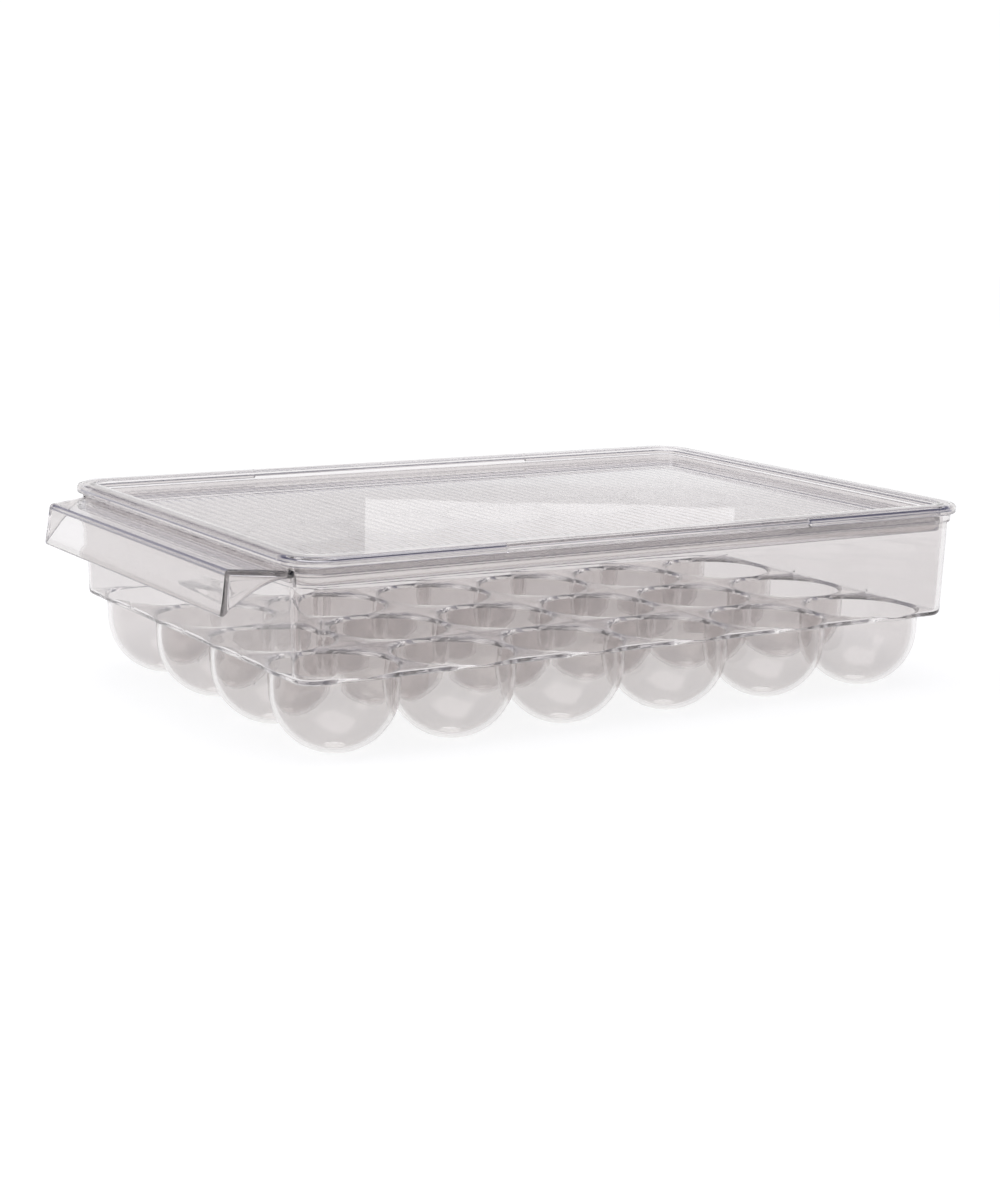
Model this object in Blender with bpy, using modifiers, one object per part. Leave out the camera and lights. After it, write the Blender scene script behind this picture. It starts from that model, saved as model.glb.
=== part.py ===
"""Clear plastic egg holder tray with a lift-off lid and a pull handle.

The real object is two mouldings: a tray (four rows of six egg cups under a
shallow drafted box, with a pull handle on one short end) and a lid.  Each
moulding is modelled as the simple regions it is made of: one cell for each
cup, straight walls and rounded corners, the handle's shelf, apron and gussets,
and the lid's panel and raised rim.

Frame: +X along the length, away from the handle, +Z up.  The origin is the
centre of the overall footprint, on the surface that the cups stand on.
"""
import math

import bmesh
import bpy
from mathutils import Matrix, Vector

# ---------------------------------------------------------------- dimensions
PITCH = 0.0500            # cup spacing, both ways
COLS, ROWS = 6, 4
GRID_X = 0.00905          # cup grid centre, from the centre of the overall length

CUP_R = 0.0246            # cup outside radius
CUP_WALL = 0.0018
CUP_ZC = 0.02415          # height of the hemisphere's centre
CUP_STEPS = 16
CUP_LATS = (0.0, 20.0, 40.0, 60.0, 79.0)   # the last ring is the small flat foot

DECK_Z0, DECK_Z1 = 0.0312, 0.0330          # deck that carries the cups
BOT_HX, BOT_HY = 0.1518, 0.1003            # wall half sizes where they meet the deck
BOT_R = 0.0080                             # plan radius of the corners there
WALL_T = 0.0020
WALL_OUT = 0.0014                          # draft: how far the wall leans out to its top
BAND_Z0, BAND_Z1 = 0.0708, 0.0716          # step out to the rim's bead
BAND_OUT = 0.0009
RIM_Z = 0.0745                             # top of the tray's rim
GAP = 0.0003                               # clearance between touching pieces

LID_HX, LID_HY = 0.1572, 0.1060            # lid half sizes
LID_R = 0.0160                             # plan radius of the lid's corners
LID_Z0, LID_Z1 = 0.0748, 0.0786            # bull-nosed rim
LID_RIM_W = 0.0086
LID_PANEL_Z0, LID_PANEL_Z1 = 0.0712, 0.0732   # panel, recessed inside the rim
LIP_Z0 = 0.0676                            # skirt under the rim, inside the tray
LIP_IN = 0.0070                            # its outer face, in from the lid's edge

HANDLE_X = 0.1730                          # shelf's outer edge, from the grid centre
HANDLE_HY = 0.0833
SHELF_Z = 0.0728                           # top of the handle's shelf
SHELF_T = 0.0020
APRON_T = 0.0020
APRON_Z0 = 0.0559
APRON_FLARE = 0.0023                       # the apron leans out to its lower edge
GUSSET_T = 0.0018

SMOKE = (0.80, 0.775, 0.79, 0.45)          # clear, faintly smoky plastic

# ------------------------------------------------------------------- helpers
for old in list(bpy.data.objects):
    bpy.data.objects.remove(old, do_unlink=True)

parts = bpy.data.collections.new("egg_holder_tray")
cutters = bpy.data.collections.new("cutters")
bpy.context.scene.collection.children.link(parts)
bpy.context.scene.collection.children.link(cutters)


def plastic(name, rough=0.12):
    m = bpy.data.materials.new(name)
    m.use_nodes = True
    p = m.node_tree.nodes["Principled BSDF"]
    p.inputs["Base Color"].default_value = (*SMOKE[:3], 1.0)
    p.inputs["Roughness"].default_value = rough
    p.inputs["Metallic"].default_value = 0.0
    p.inputs["IOR"].default_value = 1.57
    p.inputs["Alpha"].default_value = SMOKE[3]
    m.diffuse_color = SMOKE
    return m


def put(obj, coll=parts, rough=0.12):
    coll.objects.link(obj)
    if coll is parts:
        obj.data.materials.append(plastic(obj.name + "_plastic", rough))
    else:
        obj.hide_render = True
        obj.display_type = "WIRE"
    return obj


def mesh_object(name, bm, coll=parts, rough=0.12):
    bmesh.ops.recalc_face_normals(bm, faces=bm.faces[:])
    me = bpy.data.meshes.new(name)
    bm.to_mesh(me)
    bm.free()
    return put(bpy.data.objects.new(name, me), coll, rough)


def box(name, lo, hi, coll=parts):
    bm = bmesh.new()
    bmesh.ops.create_cube(bm, size=1.0)
    lo, hi = Vector(lo), Vector(hi)
    for v in bm.verts:
        v.co = Vector(((lo[i] + hi[i]) / 2 + v.co[i] * (hi[i] - lo[i])) for i in range(3))
    return mesh_object(name, bm, coll)


def turned(name, profile, steps, coll=cutters):
    """A closed solid of revolution about Z from a profile (radius, z), top to bottom."""
    me = bpy.data.meshes.new(name)
    me.from_pydata([(r, 0.0, z) for r, z in profile], [(i, i + 1) for i in range(len(profile) - 1)], [])
    obj = put(bpy.data.objects.new(name, me), coll)
    s = obj.modifiers.new("turn", "SCREW")
    s.angle = math.tau
    s.steps = s.render_steps = steps
    s.use_merge_vertices = True
    s.merge_threshold = 0.00005
    return obj


def boolean(obj, other, how):
    m = obj.modifiers.new(how.lower(), "BOOLEAN")
    m.operation = how
    m.object = other
    m.solver = "EXACT"


def plate(name, outline, thick, matrix):
    """A flat piece: a filled 2D outline, thick along its own normal."""
    cu = bpy.data.curves.new(name, "CURVE")
    cu.dimensions = "2D"
    cu.fill_mode = "BOTH"
    cu.extrude = thick / 2
    sp = cu.splines.new("POLY")
    sp.points.add(len(outline) - 1)
    for p, (x, y) in zip(sp.points, outline):
        p.co = (x, y, 0.0, 1.0)
    sp.use_cyclic_u = True
    obj = put(bpy.data.objects.new(name, cu))
    obj.matrix_world = matrix
    return obj


def bar_matrix(side, mid, at):
    """Places a section drawn as (outward, up) so that it runs along one side of a box."""
    out = {"+x": Vector((1, 0, 0)), "-x": Vector((-1, 0, 0)),
           "+y": Vector((0, 1, 0)), "-y": Vector((0, -1, 0))}[side]
    up = Vector((0, 0, 1))
    along = out.cross(up)
    m = Matrix((out, up, along)).transposed().to_4x4()
    m.translation = Vector(at) + out * mid
    return m


def corner(name, section, centre, quadrant, steps=4):
    """The same section turned through a right angle about a vertical axis."""
    bm = bmesh.new()
    face = bm.faces.new([bm.verts.new((r, 0.0, z)) for r, z in section])
    bmesh.ops.spin(bm, geom=bm.verts[:] + bm.edges[:] + [face], cent=(0, 0, 0), axis=(0, 0, 1),
                   dvec=(0, 0, 0), angle=math.pi / 2, steps=steps, use_merge=False, use_duplicate=False)
    bmesh.ops.rotate(bm, verts=bm.verts[:], cent=(0, 0, 0),
                     matrix=Matrix.Rotation(math.radians(90 * quadrant), 3, "Z"))
    bmesh.ops.translate(bm, verts=bm.verts[:], vec=Vector(centre))
    return mesh_object(name, bm)


# ------------------------------------------------------- tray: the cup cells
def cup_profile(radius, top, foot):
    pts = [(0.0, top), (radius, top)]
    for a in CUP_LATS:
        pts.append((radius * math.cos(math.radians(a)), CUP_ZC - radius * math.sin(math.radians(a))))
    pts[-1] = (pts[-1][0], foot)
    pts.append((0.0, foot))
    return pts


FOOT_IN = CUP_ZC - (CUP_R - CUP_WALL) * math.sin(math.radians(CUP_LATS[-1]))

for r in range(ROWS):
    for c in range(COLS):
        name = "egg_cup_%s%d" % ("abcd"[r], c + 1)
        x = GRID_X + (c - (COLS - 1) / 2) * PITCH
        y = (r - (ROWS - 1) / 2) * PITCH
        x0, x1 = x - PITCH / 2 + GAP / 2, x + PITCH / 2 - GAP / 2
        y0, y1 = y - PITCH / 2 + GAP / 2, y + PITCH / 2 - GAP / 2
        if c == 0:
            x0 = GRID_X - BOT_HX
        if c == COLS - 1:
            x1 = GRID_X + BOT_HX
        if r == 0:
            y0 = -BOT_HY
        if r == ROWS - 1:
            y1 = BOT_HY
        cell = box(name, (x0, y0, DECK_Z0), (x1, y1, DECK_Z1))
        if c in (0, COLS - 1) and r in (0, ROWS - 1):
            # round the outer corner of the deck
            px = x0 if c == 0 else x1
            py = y0 if r == 0 else y1
            bm = bmesh.new()
            bm.from_mesh(cell.data)
            edge = [e for e in bm.edges
                    if all(abs(v.co.x - px) < 1e-6 and abs(v.co.y - py) < 1e-6 for v in e.verts)]
            bmesh.ops.bevel(bm, geom=edge, offset=BOT_R, segments=4, profile=0.5, affect="EDGES")
            bm.to_mesh(cell.data)
            bm.free()
        outer = turned(name + "_outer", cup_profile(CUP_R, (DECK_Z0 + DECK_Z1) / 2, 0.0), CUP_STEPS)
        inner = turned(name + "_inner", cup_profile(CUP_R - CUP_WALL, DECK_Z1 + 0.005, FOOT_IN), CUP_STEPS)
        outer.location = inner.location = (x, y, 0.0)
        boolean(cell, outer, "UNION")
        boolean(cell, inner, "DIFFERENCE")

# --------------------------------------------------- tray: walls and corners
def wall_section(base):
    """Drafted wall with a step out to the rim band, as (distance out, height)."""
    z0 = DECK_Z1 + GAP

    def out(z):
        return base + WALL_OUT * (z - DECK_Z1) / (RIM_Z - DECK_Z1)

    outer = [(out(z0), z0), (out(BAND_Z0), BAND_Z0), (out(BAND_Z1) + BAND_OUT, BAND_Z1),
             (out(RIM_Z) + BAND_OUT, RIM_Z)]
    return outer + [(o - WALL_T, z) for o, z in reversed(outer)]


STRAIGHT_X = BOT_HX - BOT_R       # where the straight walls end and the corners begin
STRAIGHT_Y = BOT_HY - BOT_R
for name, side, mid, half in (("tray_wall_front", "-y", STRAIGHT_Y, STRAIGHT_X),
                              ("tray_wall_back", "+y", STRAIGHT_Y, STRAIGHT_X),
                              ("tray_wall_handle_end", "-x", STRAIGHT_X, STRAIGHT_Y),
                              ("tray_wall_far_end", "+x", STRAIGHT_X, STRAIGHT_Y)):
    plate(name, wall_section(BOT_R), 2 * (half - GAP), bar_matrix(side, mid, (GRID_X, 0, 0)))
for name, sx, sy, q in (("tray_corner_far_back", 1, 1, 0), ("tray_corner_handle_back", -1, 1, 1),
                        ("tray_corner_handle_front", -1, -1, 2), ("tray_corner_far_front", 1, -1, 3)):
    corner(name, wall_section(BOT_R), (GRID_X + sx * STRAIGHT_X, sy * STRAIGHT_Y, 0), q)

# -------------------------------------------------------------- tray: handle
rim_out = BOT_HX + WALL_OUT + BAND_OUT
shelf_in = -(rim_out + GAP) + GRID_X
shelf_out = GRID_X - HANDLE_X
SHELF_HY_IN = 0.0925              # the shelf's ends slant out to the tray's corners
plate("handle_shelf",
      [(shelf_in, -SHELF_HY_IN), (shelf_in, SHELF_HY_IN), (shelf_out, HANDLE_HY), (shelf_out, -HANDLE_HY)],
      SHELF_T, Matrix.Translation((0, 0, SHELF_Z - SHELF_T / 2)))

apron_top = SHELF_Z - SHELF_T - GAP
apron = box("handle_apron", (0, -HANDLE_HY, APRON_Z0), (APRON_T, HANDLE_HY, apron_top))
bm = bmesh.new()
bm.from_mesh(apron.data)
for v in bm.verts:                # lean out towards the lower edge
    t = (apron_top - v.co.z) / (apron_top - APRON_Z0)
    v.co.x += shelf_out - APRON_FLARE * t
bm.to_mesh(apron.data)
bm.free()

for name, s in (("handle_gusset_front", -1), ("handle_gusset_back", 1)):
    start = Vector((shelf_out + 0.0040, s * (HANDLE_HY - 0.0004), 0))
    end = Vector((GRID_X - STRAIGHT_X - 0.0108, s * (STRAIGHT_Y + 0.0022), 0))
    along = (end - start).normalized()
    length = (end - start).length
    low = APRON_Z0 + 0.0006
    drop = apron_top - low
    outline = [(0.0, 0.0), (length, 0.0)]
    for k in range(9):            # S-shaped lower edge, deep at the apron
        u = 1.0 - k / 8
        depth = 0.0030 + (drop - 0.0030) * (1 - (3 * u * u - 2 * u * u * u))
        outline.append((length * u, -depth))
    up = Vector((0, 0, 1))
    m = Matrix((along, up, along.cross(up))).transposed().to_4x4()
    m.translation = start + Vector((0, 0, apron_top))
    plate(name, outline, GUSSET_T, m)

# ----------------------------------------------------------------------- lid
def rim_section(base):
    """Bull-nosed rim with the skirt that drops inside the tray, as (distance out, height)."""
    h = (LID_Z1 - LID_Z0) / 2
    zc = (LID_Z1 + LID_Z0) / 2
    nose = []
    for k in range(7):
        a = math.radians(-90 + 30 * k)
        nose.append((base - h + h * math.cos(a), zc + h * math.sin(a)))
    inner, lip = base - LID_RIM_W, base - LIP_IN
    return nose + [(inner + 0.0010, LID_Z1), (inner, LID_Z1 - 0.0010), (inner, LIP_Z0), (lip, LIP_Z0),
                   (lip, LID_Z0)]


LX, LY = LID_HX - LID_R, LID_HY - LID_R
for name, side, mid, half in (("lid_rim_front", "-y", LY, LX), ("lid_rim_back", "+y", LY, LX),
                              ("lid_rim_handle_end", "-x", LX, LY), ("lid_rim_far_end", "+x", LX, LY)):
    plate(name, rim_section(LID_R), 2 * (half - GAP), bar_matrix(side, mid, (GRID_X, 0, 0)))
for name, sx, sy, q in (("lid_corner_far_back", 1, 1, 0), ("lid_corner_handle_back", -1, 1, 1),
                        ("lid_corner_handle_front", -1, -1, 2), ("lid_corner_far_front", 1, -1, 3)):
    corner(name, rim_section(LID_R), (GRID_X + sx * LX, sy * LY, 0), q, steps=5)

px, py = LID_HX - LID_RIM_W - GAP, LID_HY - LID_RIM_W - GAP
pr = LID_R - LID_RIM_W - GAP
outline = []
for sx, sy, a0 in ((1, 1, 0), (-1, 1, 90), (-1, -1, 180), (1, -1, 270)):
    for k in range(4):
        a = math.radians(a0 + 30 * k)
        outline.append((sx * (px - pr) + pr * math.cos(a), sy * (py - pr) + pr * math.sin(a)))
plate("lid_panel", outline, LID_PANEL_Z1 - LID_PANEL_Z0,
      Matrix.Translation((GRID_X, 0, (LID_PANEL_Z0 + LID_PANEL_Z1) / 2)))
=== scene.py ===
"""Looks for the egg holder tray: a clear, faintly smoky tray with 24 egg cups and a
pull handle, and its lift-off lid with a ribbed panel.

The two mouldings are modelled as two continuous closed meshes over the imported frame.
Lengths inside the mesh code are millimetres; they become metres when a mesh is made.
"""
import math

import bmesh
import bpy
from mathutils import Matrix, Vector


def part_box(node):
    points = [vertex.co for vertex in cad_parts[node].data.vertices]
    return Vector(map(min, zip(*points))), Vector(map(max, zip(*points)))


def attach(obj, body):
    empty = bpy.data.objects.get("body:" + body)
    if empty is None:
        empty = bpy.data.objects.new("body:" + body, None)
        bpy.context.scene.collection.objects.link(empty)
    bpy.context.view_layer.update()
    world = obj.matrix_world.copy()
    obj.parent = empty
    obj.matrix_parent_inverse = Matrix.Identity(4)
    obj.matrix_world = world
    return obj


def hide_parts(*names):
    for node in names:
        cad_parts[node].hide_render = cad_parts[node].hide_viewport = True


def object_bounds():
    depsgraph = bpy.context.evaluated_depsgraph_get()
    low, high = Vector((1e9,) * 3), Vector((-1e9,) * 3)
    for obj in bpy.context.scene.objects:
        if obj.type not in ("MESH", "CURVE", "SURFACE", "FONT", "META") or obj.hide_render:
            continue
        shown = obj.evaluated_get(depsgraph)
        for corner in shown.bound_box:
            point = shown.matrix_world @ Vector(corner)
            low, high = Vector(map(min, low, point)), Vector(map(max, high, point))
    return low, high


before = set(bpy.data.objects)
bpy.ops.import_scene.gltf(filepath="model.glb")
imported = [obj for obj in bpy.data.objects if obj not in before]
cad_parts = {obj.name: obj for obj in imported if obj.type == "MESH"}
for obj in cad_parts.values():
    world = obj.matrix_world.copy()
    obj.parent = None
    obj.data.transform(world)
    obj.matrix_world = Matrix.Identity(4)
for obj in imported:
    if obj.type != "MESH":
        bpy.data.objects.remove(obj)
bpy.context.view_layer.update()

# ---------------------------------------------------------------- the frame's measures
lid_lo = [min(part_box(n)[0][a] for n in ("lid_rim_front", "lid_rim_back", "lid_rim_handle_end",
                                        "lid_rim_far_end")) * 1000 for a in range(3)]
lid_hi = [max(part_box(n)[1][a] for n in ("lid_rim_front", "lid_rim_back", "lid_rim_handle_end",
                                        "lid_rim_far_end")) * 1000 for a in range(3)]
GX = (lid_lo[0] + lid_hi[0]) / 2          # centre of the cup grid along the length
HANDLE_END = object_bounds()[0][0] * 1000     # the handle's outermost point

PITCH = 50.0
COLS, ROWS = 6, 4
HX, HY, CR = 151.8, 100.3, 8.0            # wall outline where it meets the deck, and its corner
Z_UNDER, Z_DECK, Z_RIM = 31.2, 33.0, 74.5
WALL = 2.0
LEAN = 1.4                                # draft of the wall, deck to rim
MOUTH_R, CUP_RO, CUP_RI, CUP_ZC = 24.6, 24.6, 22.8, 24.15
MOUTH_FILLET = 1.6
NECK_R = 24.8                             # cup's outside where it meets the deck
FOOT_LAT = math.radians(79.0)
EDGE_FILLET = 2.2

LHX, LHY, LR = (lid_hi[0] - lid_lo[0]) / 2, (lid_hi[1] - lid_lo[1]) / 2, 16.0
RIB = 4.87                                # rib spacing on the lid's panel
RIB_H = 0.26


def lean(z):
    return LEAN * (z - Z_UNDER) / (Z_RIM - Z_UNDER)


# ---------------------------------------------------------------- mesh helpers
class Skin:
    """Points and faces of one moulding, in millimetres about the grid's centre."""

    def __init__(self):
        self.points, self.faces = [], []

    def row(self, points):
        start = len(self.points)
        self.points.extend(points)
        return list(range(start, start + len(points)))

    def strip(self, a, b, closed=False):
        n = len(a)
        for k in range(n if closed else n - 1):
            m = (k + 1) % n
            self.faces.append((a[k], a[m], b[m], b[k]))

    def rows(self, rows, closed=False):
        made = [self.row(r) for r in rows]
        for a, b in zip(made, made[1:]):
            self.strip(a, b, closed)
        return made

    def fan(self, ring, centre):
        c = self.row([centre])[0]
        n = len(ring)
        for k in range(n):
            self.faces.append((ring[k], ring[(k + 1) % n], c))

    def mesh(self, name, shift=(0.0, 0.0, 0.0), weld=2e-6):
        me = bpy.data.meshes.new(name)
        me.from_pydata([((x + shift[0]) / 1000, (y + shift[1]) / 1000, (z + shift[2]) / 1000)
                        for x, y, z in self.points], [], self.faces)
        bm = bmesh.new()
        bm.from_mesh(me)
        bmesh.ops.remove_doubles(bm, verts=bm.verts, dist=weld)
        bmesh.ops.dissolve_degenerate(bm, edges=bm.edges, dist=1e-7)
        bmesh.ops.recalc_face_normals(bm, faces=bm.faces)
        if bm.calc_volume(signed=True) < 0:
            bmesh.ops.reverse_faces(bm, faces=bm.faces)
        open_edges = sum(1 for e in bm.edges if not e.is_manifold)
        print(name, "points", len(bm.verts), "faces", len(bm.faces), "open edges", open_edges)
        bm.to_mesh(me)
        bm.free()
        return me


def put(name, mesh):
    ob = bpy.data.objects.new(name, mesh)
    bpy.context.scene.collection.objects.link(ob)
    return ob


def spin(k, x, y):
    """A point turned by k quarter turns."""
    for _ in range(k % 4):
        x, y = -y, x
    return x, y


# ---------------------------------------------------------------- tray: deck, cups and walls
STEPS = 64
SIDE = [25.0 * math.tan(math.radians(k * 360 / STEPS)) for k in range(-STEPS // 8, STEPS // 8 + 1)]


def cell_loop(i, j):
    """Points round one cup's cell, anticlockwise. An inner one is (x, y, None); one on the wall
    is (x, y, normal), on the wall's outline at the deck."""
    cx, cy = (i - (COLS - 1) / 2) * PITCH, (j - (ROWS - 1) / 2) * PITCH
    outer = (i == COLS - 1, j == ROWS - 1, i == 0, j == 0)
    reach = (HX - (COLS - 1) / 2 * PITCH, HY - (ROWS - 1) / 2 * PITCH)
    loop = []
    for k in range(4):
        far = reach[k % 2]
        limit = reach[(k + 1) % 2] - CR
        if outer[k]:
            t0 = -limit if outer[k - 1] else -25.0
            t1 = limit if outer[(k + 1) % 4] else 25.0
            ts = [t for t in SIDE if t0 + 1.2 < t < t1 - 1.2]
            ts = [t0] + ([-24.5] if t0 == -25.0 else []) + ts + ([24.5] if t1 == 25.0 else []) + [t1]
            for t in ts:
                x, y = spin(k, far, t)
                loop.append((cx + x, cy + y, spin(k, 1.0, 0.0)))
            if outer[(k + 1) % 4]:
                for a in range(9, 90, 9):
                    c, s = math.cos(math.radians(a)), math.sin(math.radians(a))
                    x, y = spin(k, far - CR + CR * c, limit + CR * s)
                    loop.append((cx + x, cy + y, spin(k, c, s)))
        else:
            ts = [t for t in SIDE if t < 25.0 - 1e-6]
            if outer[k - 1]:
                ts = ts[1:]
            for t in ts:
                x, y = spin(k, 25.0, t)
                loop.append((cx + x, cy + y, None))
    return cx, cy, loop


def mouth_z(r):
    """Height of the deck's upper face at a distance from a cup's centre."""
    if r >= MOUTH_R:
        return Z_DECK
    d = min(MOUTH_R - r, MOUTH_FILLET)
    return Z_DECK - MOUTH_FILLET + math.sqrt(MOUTH_FILLET ** 2 - d * d)


def wall_column(cx, cy, x, y, n):
    """One upright section of the wall: foot inside, rim, outside, and round under the deck."""
    def at(off, z):
        return (x + n[0] * off, y + n[1] * off, z)

    def gap(off):
        return math.hypot(x + n[0] * off - cx, y + n[1] * off - cy)

    inner = lean(Z_DECK) - WALL
    f = min(1.1, max(0.14, 0.5 * (gap(inner) - MOUTH_R)))
    foot_z = mouth_z(gap(inner - f))
    col = [at(inner - f + f * math.sin(math.radians(a)), foot_z + f - f * math.cos(math.radians(a)))
           for a in (0, 22.5, 45, 67.5, 90)]
    for z in (36.0, 40.0, 48.0, 56.0, 64.0, 70.0, 73.6):
        col.append(at(lean(z) - WALL, z))
    top_in = lean(Z_RIM) - WALL
    for a in (30, 60, 90):
        c, s = math.cos(math.radians(a)), math.sin(math.radians(a))
        col.append(at(top_in + 0.5 - 0.5 * c, Z_RIM - 0.5 + 0.5 * s))
    out = LEAN + 0.9
    for a in (90, 67.5, 45, 22.5, 0):
        c, s = math.cos(math.radians(a)), math.sin(math.radians(a))
        col.append(at(out - 0.7 + 0.7 * c, Z_RIM - 0.7 + 0.7 * s))
    for a in (0, -30, -60, -90):
        c, s = math.cos(math.radians(a)), math.sin(math.radians(a))
        col.append(at(out - 0.4 + 0.4 * c, 71.5 + 0.4 * s))
    col.append(at(lean(70.9) + 0.14, 71.06))
    col.append(at(lean(70.6), 70.7))
    for z in (66.0, 60.0, 52.0, 44.0, 38.0, 34.2):
        col.append(at(lean(z), z))
    # where two cups' edges meet, a small upright nick runs across the deck's edge
    dx, dy = abs(x - cx), abs(y - cy)
    nick = 0.25 if max(dx, dy) > 25.01 and abs(min(dx, dy) - 25.0) < 1e-6 else 0.0
    g = min(EDGE_FILLET, max(0.3, 0.86 * (gap(0.0) - NECK_R)))
    for a in (90, 72, 54, 36, 18, 0):
        c, s = math.cos(math.radians(a)), math.sin(math.radians(a))
        col.append(at(lean(Z_UNDER + g) - g + g * s - nick, Z_UNDER + g - g * c))
    return col


tray = Skin()
for i in range(COLS):
    for j in range(ROWS):
        cx, cy, loop = cell_loop(i, j)
        columns = [wall_column(cx, cy, x, y, n) if n else None for x, y, n in loop]
        top = [c[0] if c else (x, y, Z_DECK) for c, (x, y, n) in zip(columns, loop)]
        low = [c[-1] if c else (x, y, Z_UNDER) for c, (x, y, n) in zip(columns, loop)]

        # upper face: web, rounded mouth, inside of the cup
        rays, starts = [], []
        for p in top:
            d = math.hypot(p[0] - cx, p[1] - cy)
            rays.append(((p[0] - cx) / d, (p[1] - cy) / d))
            starts.append(min(MOUTH_R, d - 0.12))
        rings = [top]
        first = [math.asin((MOUTH_R - r) / MOUTH_FILLET) for r in starts]
        for s in range(6):
            ring = []
            for (ux, uy), a0 in zip(rays, first):
                a = a0 + (math.pi / 2 - a0) * s / 5
                r = MOUTH_R - MOUTH_FILLET * math.sin(a)
                ring.append((cx + ux * r, cy + uy * r, Z_DECK - MOUTH_FILLET * (1 - math.cos(a))))
            rings.append(ring)
        rings.append([(cx + ux * 22.9, cy + uy * 22.9, 27.8) for ux, uy in rays])
        for lat in (0, 8, 16, 24, 32, 40, 48, 56, 64, 72, 80, 86):
            c, s = math.cos(math.radians(lat)) * CUP_RI, math.sin(math.radians(lat)) * CUP_RI
            rings.append([(cx + ux * c, cy + uy * c, CUP_ZC - s) for ux, uy in rays])
        made = tray.rows(rings, closed=True)
        tray.fan(made[-1], (cx, cy, CUP_ZC - CUP_RI))

        # lower face: web, outside of the cup, flat foot
        rays = []
        for p in low:
            d = math.hypot(p[0] - cx, p[1] - cy)
            rays.append(((p[0] - cx) / d, (p[1] - cy) / d))
        rings = [low,
                 [(cx + ux * NECK_R, cy + uy * NECK_R, Z_UNDER) for ux, uy in rays],
                 [(cx + ux * (NECK_R - 0.05), cy + uy * (NECK_R - 0.05), Z_UNDER - 1.2) for ux, uy in rays]]
        for lat in (0, 8, 16, 24, 32, 40, 48, 56, 64, 72, 79):
            c, s = math.cos(math.radians(lat)) * CUP_RO, math.sin(math.radians(lat)) * CUP_RO
            z = 0.0 if lat == 79 else CUP_ZC - s
            rings.append([(cx + ux * c, cy + uy * c, z) for ux, uy in rays])
        rings.append([(cx + ux * 3.9, cy + uy * 3.9, 0.0) for ux, uy in rays])
        made = tray.rows(rings, closed=True)
        tray.fan(made[-1], (cx, cy, 0.0))

        # wall sections between neighbouring outline points
        for k in range(len(loop)):
            a, b = columns[k], columns[(k + 1) % len(loop)]
            if a and b:
                tray.rows([a, b])

tray_mesh = tray.mesh("tray_moulding", (GX, 0, 0))

# ---------------------------------------------------------------- tray: pull handle
SHELF_TOP, SHELF_T = 72.8, 2.0
APRON_LOW, FLARE = 55.9, 2.3
OUT_X = HANDLE_END - GX + FLARE            # shelf's outer edge, from the grid's centre
OUT_Y = 83.3
ROOT_X, ROOT_Y = -152.6, 96.3              # where the shelf's slanted end runs into the tray


def handle_path():
    """Outer edge of the shelf from the tray's front corner round to its back corner, as
    (x, y, normal, share along the slanted end: 0 at the tray, 1 from the handle's corner on,
    bend): a bend is the rounded corner's (centre, bisector, radius, cosine), else None."""
    corner, root = Vector((OUT_X, -OUT_Y)), Vector((ROOT_X, -ROOT_Y))
    r = 1.5
    back = (root - corner).normalized()
    turn = math.acos(max(-1, min(1, back.dot(Vector((0, 1))))))
    cut = r / math.tan(turn / 2)
    start, end = corner + back * cut, corner + Vector((0, 1)) * cut
    n0 = Vector((back.y, -back.x))
    if n0.x > 0:
        n0 = -n0
    n1 = Vector((-1, 0))
    centre = end - n1 * r
    pts = []
    for k in range(15):
        u = k / 15
        p = root.lerp(start, u)
        pts.append((p.x, p.y, (n0.x, n0.y), u, None))
    a0, a1 = math.atan2(n0.y, n0.x), -math.pi
    if a0 > 0:
        a0 -= 2 * math.pi
    mid_n = (n0 + n1).normalized()
    bend = (centre, mid_n, r, mid_n.dot(n1))
    for k in range(9):
        a = a0 + (a1 - a0) * k / 8
        c, s = math.cos(a), math.sin(a)
        pts.append((centre.x + r * c, centre.y + r * s, (c, s), 1.0 + k / 8, bend))
    half = [p for p in pts]
    for k in range(1, 12):
        y = end.y * (1 - k / 12)
        half.append((OUT_X, y, (-1.0, 0.0), 2.0, None))
    other = []
    for x, y, n, u, b in reversed(half):
        if b:
            b = (Vector((b[0].x, -b[0].y)), Vector((b[1].x, -b[1].y)), b[2], b[3])
        other.append((x, -y, (n[0], -n[1]), u, b))
    mid = [(OUT_X, 0.0, (-1.0, 0.0), 2.0, None)]
    return half + mid + other


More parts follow.
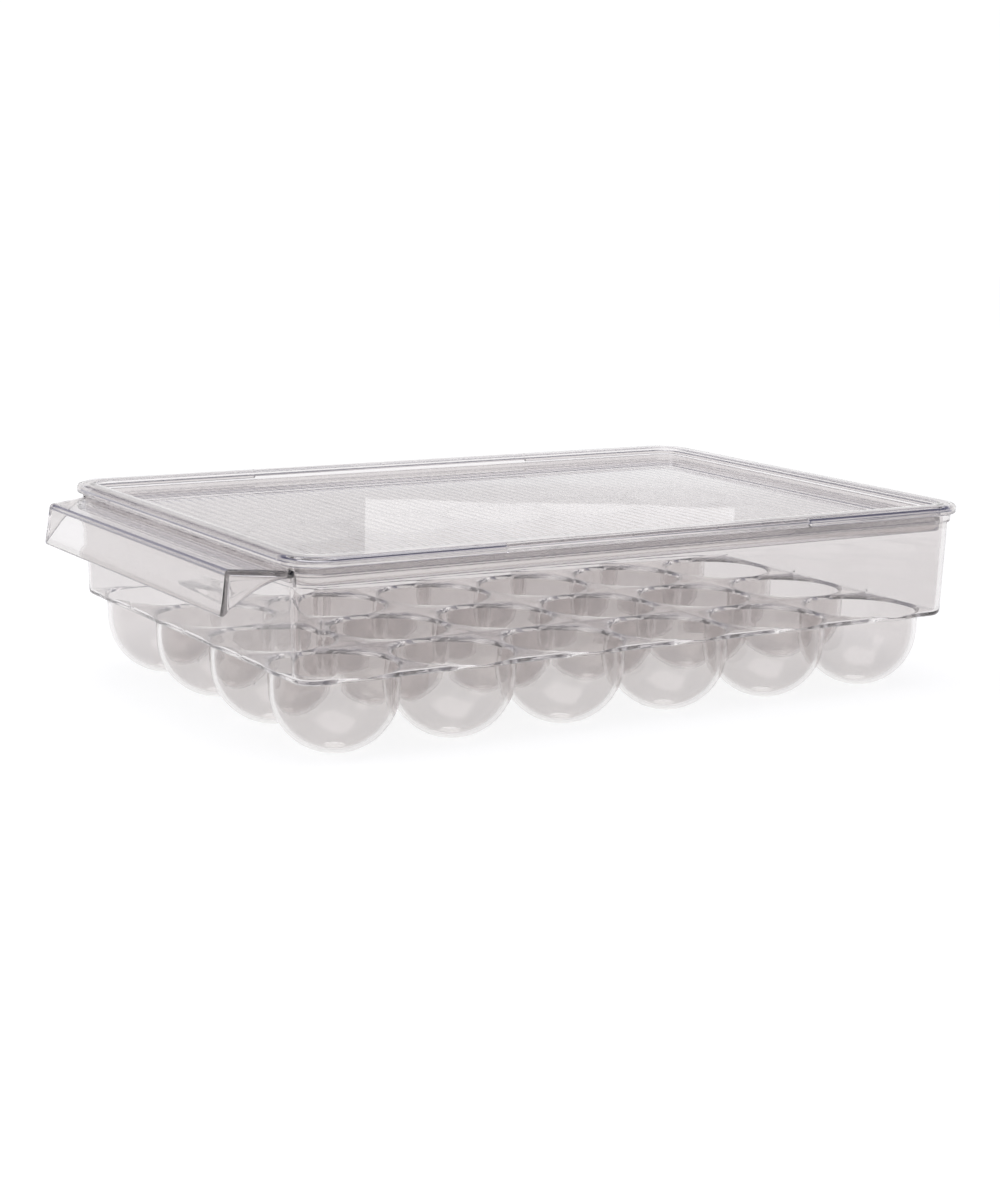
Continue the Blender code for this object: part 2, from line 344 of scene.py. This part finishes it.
def handle_section(x, y, n, u, bend):
    """The shell's section across the edge: inner end on top, over the edge, down, back under."""
    along = 0.9 * u if u < 1 else 0.9 + 0.25 * (u - 1)
    t = min(1.0, (along / 1.15) ** 1.25)
    low = 70.1 + (APRON_LOW - 70.1) * (3 * t * t - 2 * t ** 3)   # S-shaped lower edge
    drop = SHELF_TOP - low
    flare = FLARE * min(1.0, max(0.0, u - 0.55) / 0.9)
    t = 2.0

    def side(z):
        return flare * (SHELF_TOP - z) / (SHELF_TOP - APRON_LOW)

    def at(off, z):
        if bend and off < -bend[2]:            # past the corner's centre: one mitred point
            far = (off + bend[2]) / bend[3]
            return (bend[0].x + bend[1].x * far, bend[0].y + bend[1].y * far, z)
        return (x + n[0] * off, y + n[1] * off, z)

    r = min(1.7, drop * 0.45)
    sec = []
    for a in (90, 72, 54, 36, 18, 0):
        c, sn = math.cos(math.radians(a)), math.sin(math.radians(a))
        sec.append(at(-r + r * c + side(SHELF_TOP - r) * c, SHELF_TOP - r + r * sn))
    end_r = 0.9
    for f in (0.33, 0.66):
        z = SHELF_TOP - r + (low + end_r - SHELF_TOP + r) * f
        sec.append(at(side(z), z))
    z = low + end_r
    for a in (0, -30, -60, -90, -120, -150, -180):
        c, sn = math.cos(math.radians(a)), math.sin(math.radians(a))
        sec.append(at(side(z) - 1.0 + 1.0 * c, z + end_r * sn))
    inner_top = SHELF_TOP - SHELF_T
    top_z = max(inner_top - 0.8, z + 0.02)
    for f in (0.4, 0.8):
        zz = z + (top_z - z) * f
        sec.append(at(side(zz) - t, zz))
    for a in (0, 30, 60, 90):
        c, sn = math.cos(math.radians(a)), math.sin(math.radians(a))
        sec.append(at(side(top_z) - t - 0.8 * (1 - c), top_z + (inner_top - top_z) * sn))
    return sec


handle = Skin()
path = handle_path()
sections = [handle_section(*p) for p in path]
lines = []
for (x, y, n, u, bend), sec in zip(path, sections):
    # the shelf's plate, from its root inside the tray's wall out to the edge
    y_in = math.copysign(min(abs(y), ROOT_Y - 0.4), y)
    x_top, y_top = sec[0][0], sec[0][1]
    x_low, y_low = sec[-1][0], sec[-1][1]
    plate_top = [(ROOT_X + (x_top - ROOT_X) * f, y_in + (y_top - y_in) * f, SHELF_TOP)
                 for f in (0.0, 0.25, 0.5, 0.75)]
    plate_low = [(x_low + (ROOT_X - x_low) * f, y_low + (y_in - y_low) * f, SHELF_TOP - SHELF_T)
                 for f in (0.25, 0.5, 0.75, 1.0)]
    lines.append(plate_top + sec + plate_low)
made = handle.rows(lines)
for a, b in zip(made, made[1:]):               # close the root, inside the wall
    handle.faces.append((a[0], a[-1], b[-1], b[0]))
for ends in (made[0], made[-1]):
    handle.faces.append(tuple(ends))
handle_mesh = handle.mesh("handle_part", (GX, 0, 0))

tray_ob = put("tray_moulding", tray_mesh)
handle_ob = put("handle_part", handle_mesh)
union = tray_ob.modifiers.new("handle", "BOOLEAN")
union.operation, union.solver, union.object = "UNION", "EXACT", handle_ob
bpy.context.view_layer.update()
joined = bpy.data.meshes.new_from_object(tray_ob.evaluated_get(bpy.context.evaluated_depsgraph_get()))
tray_ob.modifiers.clear()
tray_ob.data = joined
bpy.data.objects.remove(handle_ob, do_unlink=True)

# ---------------------------------------------------------------- lid
FRAME_OFF = 9.4                            # flat margin of the panel starts here, in from the edge
PX, PY, PR = LHX - FRAME_OFF, LHY - FRAME_OFF, LR - FRAME_OFF
PANEL_TOP, PANEL_LOW = 73.2, 71.6
NOSE_R, NOSE_Z = 1.9, 76.7
TAB = (-70.0, 71.0)                        # finger grip on the long sides


def lid_columns():
    """x of each line of points across the panel: eight to a rib, closer in the corners."""
    ax = PX - PR
    xs = set()
    step = RIB / 8
    n = int(ax / step)
    for k in range(-n, n + 1):
        xs.add(round(k * step, 5))
    xs = [x for x in xs if abs(x) < ax - 0.2]
    for t in TAB:
        xs = [x for x in xs if abs(x - t) > 0.5] + [t - 0.25, t + 0.25]
    for a in range(0, 91, 9):
        x = ax + PR * math.sin(math.radians(a))
        xs += [x, -x]
    return sorted(set(round(x, 5) for x in xs))


def edge_of(x):
    """Half width of the panel's outline at x, and the outline's normal there (back side)."""
    ax, ay = PX - PR, PY - PR
    if abs(x) <= ax:
        return PY, (0.0, 1.0)
    s = min(1.0, (abs(x) - ax) / PR)
    c = math.sqrt(max(0.0, 1 - s * s))
    return ay + PR * c, (math.copysign(s, x), c)


def rib_height(x, y, ymax):
    fade = min(1.0, max(0.0, (PX - 2.2 - abs(x)) / 1.2)) * min(1.0, max(0.0, (ymax - 0.5 - abs(y)) / 0.9))
    return RIB_H * fade * (0.5 + 0.5 * math.cos(2 * math.pi * x / RIB)) ** 1.4


def grip(x, n, off, z):
    """The bull nose is cut back and shortened along the finger grip in the middle of each long
    side: the section's point there."""
    if abs(n[1]) < 0.999 or not TAB[0] < x < TAB[1] or off < -2.4 or z > NOSE_Z + 1.0:
        return off, z
    low = min(1.0, (NOSE_Z + 1.0 - z) / 2.6)
    return off - 0.35 * low, z + 0.85 * low


def arc(out, cx, cz, r, a0, a1, steps):
    for k in range(steps + 1):
        a = math.radians(a0 + (a1 - a0) * k / steps)
        out.append((cx + r * math.cos(a), cz + r * math.sin(a)))


def lid_section():
    """The rim's section as (distance from the lid's edge, height), from the panel's upper face
    over the bull nose, through the channel under the rim, round the skirt to the lower face."""
    s = []
    arc(s, -9.2, PANEL_TOP + 0.6, 0.6, -90, 0, 4)          # hollow fillet, panel to inner wall
    s.append((-8.56, 75.6))
    arc(s, -7.6, 77.7, 0.9, 180, 90, 5)                    # inner crest
    s.append((-5.6, 78.6))
    s.append((-3.4, 78.6))
    arc(s, -NOSE_R, NOSE_Z, NOSE_R, 90, -20, 9)            # bull nose
    arc(s, -0.72, 75.45, 0.62, 0, -90, 4)                  # its lower lip
    arc(s, -1.30, 75.43, 0.60, -90, -180, 4)
    s.append((-1.95, 76.2))
    arc(s, -2.75, 76.25, 0.75, 0, 90, 3)                   # roof of the channel
    s.append((-4.4, 77.0))
    arc(s, -6.35, 76.35, 0.65, 90, 180, 3)
    s.append((-7.02, 74.6))
    s.append((-7.06, 71.0))
    s.append((-7.1, 68.1))
    arc(s, -7.6, 68.1, 0.5, 0, -90, 3)                     # end of the skirt
    arc(s, -8.1, 68.1, 0.5, -90, -180, 3)
    s.append((-8.6, 70.0))
    arc(s, -9.0, PANEL_LOW - 0.4, 0.4, 0, 90, 3)           # hollow fillet, skirt to underside
    return s


lid = Skin()
xs = lid_columns()
rows_top, rows_low = [], []
for x in xs:
    ymax, _ = edge_of(x)
    ys = [-ymax, -ymax + 0.5, -ymax + 1.4, -ymax * 0.6, -ymax * 0.2, ymax * 0.2, ymax * 0.6,
          ymax - 1.4, ymax - 0.5, ymax]
    rows_top.append([(x, y, PANEL_TOP) for y in ys])
    rows_low.append([(x, y, PANEL_LOW - rib_height(x, y, ymax)) for y in ys])
lid.rows(rows_top)
lid.rows(rows_low)
# the outline's points, anticlockwise, with their normals
loop = []
ends = rows_top[-1]
for p in ends[1:-1]:
    loop.append((PX, p[1], (1.0, 0.0)))
for x in reversed(xs):
    y, n = edge_of(x)
    loop.append((x, y, n))
for p in reversed(rows_top[0][1:-1]):
    loop.append((-PX, p[1], (-1.0, 0.0)))
for x in xs:
    y, n = edge_of(x)
    loop.append((x, -y, (n[0], -n[1])))
section = lid_section()
rings = []
for off, z in section:
    ring = []
    for x, y, n in loop:
        o, h = grip(x, n, off, z)
        ring.append((x + n[0] * (o + FRAME_OFF), y + n[1] * (o + FRAME_OFF), h))
    rings.append(ring)
top_row = [(x, y, PANEL_TOP) for x, y, n in loop]
low_row = [(x, y, PANEL_LOW) for x, y, n in loop]
lid.rows([top_row] + rings + [low_row], closed=True)
lid_mesh = lid.mesh("lid_moulding", (GX, 0, 0))
lid_ob = put("lid_moulding", lid_mesh)

for ob, angle in ((tray_ob, 34), (lid_ob, 34)):
    ob.data.shade_smooth()
    ob.data.set_sharp_from_angle(angle=math.radians(angle))

# ---------------------------------------------------------------- materials


def plastic(name, colour):
    m = bpy.data.materials.new(name)
    m.use_nodes = True
    nt = m.node_tree
    b = nt.nodes["Principled BSDF"]
    b.inputs["Base Color"].default_value = (*colour, 1)
    b.inputs["Transmission Weight"].default_value = 1.0
    b.inputs["IOR"].default_value = 1.55
    b.inputs["Roughness"].default_value = 0.012
    co = nt.nodes.new("ShaderNodeTexCoord")
    flow = nt.nodes.new("ShaderNodeTexNoise")
    flow.inputs["Scale"].default_value = 26.0
    flow.inputs["Detail"].default_value = 1.5
    fine = nt.nodes.new("ShaderNodeTexNoise")
    fine.inputs["Scale"].default_value = 320.0
    fine.inputs["Detail"].default_value = 2.0
    for n in (flow, fine):
        nt.links.new(co.outputs["Object"], n.inputs["Vector"])
    b1 = nt.nodes.new("ShaderNodeBump")
    b1.inputs["Strength"].default_value = 0.09
    b1.inputs["Distance"].default_value = 0.0004
    b2 = nt.nodes.new("ShaderNodeBump")
    b2.inputs["Strength"].default_value = 0.04
    b2.inputs["Distance"].default_value = 0.00003
    nt.links.new(flow.outputs["Fac"], b1.inputs["Height"])
    nt.links.new(fine.outputs["Fac"], b2.inputs["Height"])
    nt.links.new(b1.outputs["Normal"], b2.inputs["Normal"])
    nt.links.new(b2.outputs["Normal"], b.inputs["Normal"])
    absorb = nt.nodes.new("ShaderNodeVolumeAbsorption")
    absorb.inputs["Color"].default_value = (0.50, 0.46, 0.46, 1)
    absorb.inputs["Density"].default_value = 4.0
    nt.links.new(absorb.outputs["Volume"], nt.nodes["Material Output"].inputs["Volume"])
    return m


for ob, name, colour in ((tray_ob, "clear_plastic_tray", (0.83, 0.810, 0.805)),
                         (lid_ob, "clear_plastic_lid", (0.885, 0.868, 0.864))):
    ob.data.materials.clear()
    ob.data.materials.append(plastic(name, colour))

tray_nodes = [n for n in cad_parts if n.startswith(("egg_cup", "tray_", "handle_"))]
lid_nodes = [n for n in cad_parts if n.startswith("lid_")]
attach(tray_ob, "tray")
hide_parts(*tray_nodes)
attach(lid_ob, "lid")
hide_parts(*lid_nodes)

# ---------------------------------------------------------------- stage, light and camera
bpy.ops.mesh.primitive_plane_add(size=5.0, location=(0, 0, 0))
floor = bpy.context.object
floor.name = "floor"
fm = bpy.data.materials.new("floor")
fm.use_nodes = True
fn = fm.node_tree
fb = fn.nodes["Principled BSDF"]
fb.inputs["Base Color"].default_value = (0.35, 0.35, 0.35, 1)
fb.inputs["Roughness"].default_value = 0.9
fb.inputs["Specular IOR Level"].default_value = 0.0
fb.inputs["Emission Color"].default_value = (1.0, 1.0, 1.0, 1)
fc = fn.nodes.new("ShaderNodeTexCoord")
fl = fn.nodes.new("ShaderNodeVectorMath")
fl.operation = "LENGTH"
fr = fn.nodes.new("ShaderNodeMapRange")
fr.interpolation_type = "SMOOTHSTEP"
for k, v in (("From Min", 0.30), ("From Max", 1.10), ("To Min", 0.86), ("To Max", 0.94)):
    fr.inputs[k].default_value = v
fn.links.new(fc.outputs["Object"], fl.inputs[0])
fn.links.new(fl.outputs["Value"], fr.inputs["Value"])
fn.links.new(fr.outputs["Result"], fb.inputs["Emission Strength"])
floor.data.materials.append(fm)

scene = bpy.context.scene
world = bpy.data.worlds.new("studio")
scene.world = world
world.use_nodes = True
wn = world.node_tree
bg = wn.nodes["Background"]
co = wn.nodes.new("ShaderNodeTexCoord")
sep = wn.nodes.new("ShaderNodeSeparateXYZ")
ramp = wn.nodes.new("ShaderNodeValToRGB")
wn.links.new(co.outputs["Generated"], sep.inputs[0])
wn.links.new(sep.outputs["Z"], ramp.inputs["Fac"])
wn.links.new(ramp.outputs["Color"], bg.inputs["Color"])
ramp.color_ramp.interpolation = "EASE"
e = ramp.color_ramp.elements
e[0].position, e[0].color = 0.136, (1.0, 1.0, 1.0, 1)
e[1].position, e[1].color = 0.148, (0.80, 0.78, 0.78, 1)
for place, colour in ((0.24, (0.70, 0.68, 0.69, 1)), (0.36, (0.28, 0.28, 0.36, 1)),
                      (0.55, (0.09, 0.09, 0.15, 1)), (1.0, (0.07, 0.07, 0.12, 1))):
    e.new(place).color = colour
bg.inputs["Strength"].default_value = 1.02


def softbox(name, place, target, size, watts, colour=(1, 1, 1), camera=False):
    data = bpy.data.lights.new(name, "AREA")
    data.shape = "RECTANGLE"
    data.size, data.size_y = size
    data.energy = watts
    data.color = colour
    ob = bpy.data.objects.new(name, data)
    scene.collection.objects.link(ob)
    ob.location = place
    d = Vector(target) - Vector(place)
    ob.rotation_euler = d.to_track_quat("-Z", "Y").to_euler()
    ob.visible_camera = camera
    return ob


# a tall panel beyond the far side, whose lower edge the lid mirrors
yaw = math.radians(-32.22)
ahead = Vector((-math.sin(yaw), math.cos(yaw), 0))
across = Vector((ahead.y, -ahead.x, 0))
base = ahead * 2.6 + across * 0.075
panel = softbox("far_panel", base + Vector((0, 0, 1.069)), base - ahead + Vector((0, 0, 1.069)),
                (0.566, 1.20), 0.68)
softbox("top_panel", (-0.2, -0.1, 1.7), (0, 0, 0), (1.8, 1.4), 14)
softbox("left_panel", (-1.7, 0.2, 0.9), (0, 0, 0.05), (0.8, 1.1), 5)

cam_data = bpy.data.cameras.new("camera")
cam = bpy.data.objects.new("camera", cam_data)
scene.collection.objects.link(cam)
yaw, pitch, roll = math.radians(-32.22), math.radians(11.09), math.radians(1.31)
look = Vector((-math.sin(yaw) * math.cos(pitch), math.cos(yaw) * math.cos(pitch), -math.sin(pitch)))
right = look.cross(Vector((0, 0, 1))).normalized()
up = right.cross(look)
r2 = right * math.cos(roll) + up * math.sin(roll)
u2 = up * math.cos(roll) - right * math.sin(roll)
m = Matrix((r2, u2, -look)).transposed().to_4x4()
m.translation = Vector((-0.51490, -0.82061, 0.22315))
cam.matrix_world = m
cam_data.sensor_width = 36.0
cam_data.sensor_fit = "AUTO"
cam_data.lens = 2355.06 * 36.0 / 1201
cam_data.clip_start, cam_data.clip_end = 0.01, 50
scene.camera = cam

scene.view_settings.view_transform = "Standard"
scene.view_settings.look = "None"
scene.view_settings.exposure = 0.0
scene.cycles.max_bounces = 72
scene.cycles.transmission_bounces = 72
scene.cycles.glossy_bounces = 64
scene.cycles.diffuse_bounces = 4
scene.cycles.transparent_max_bounces = 16
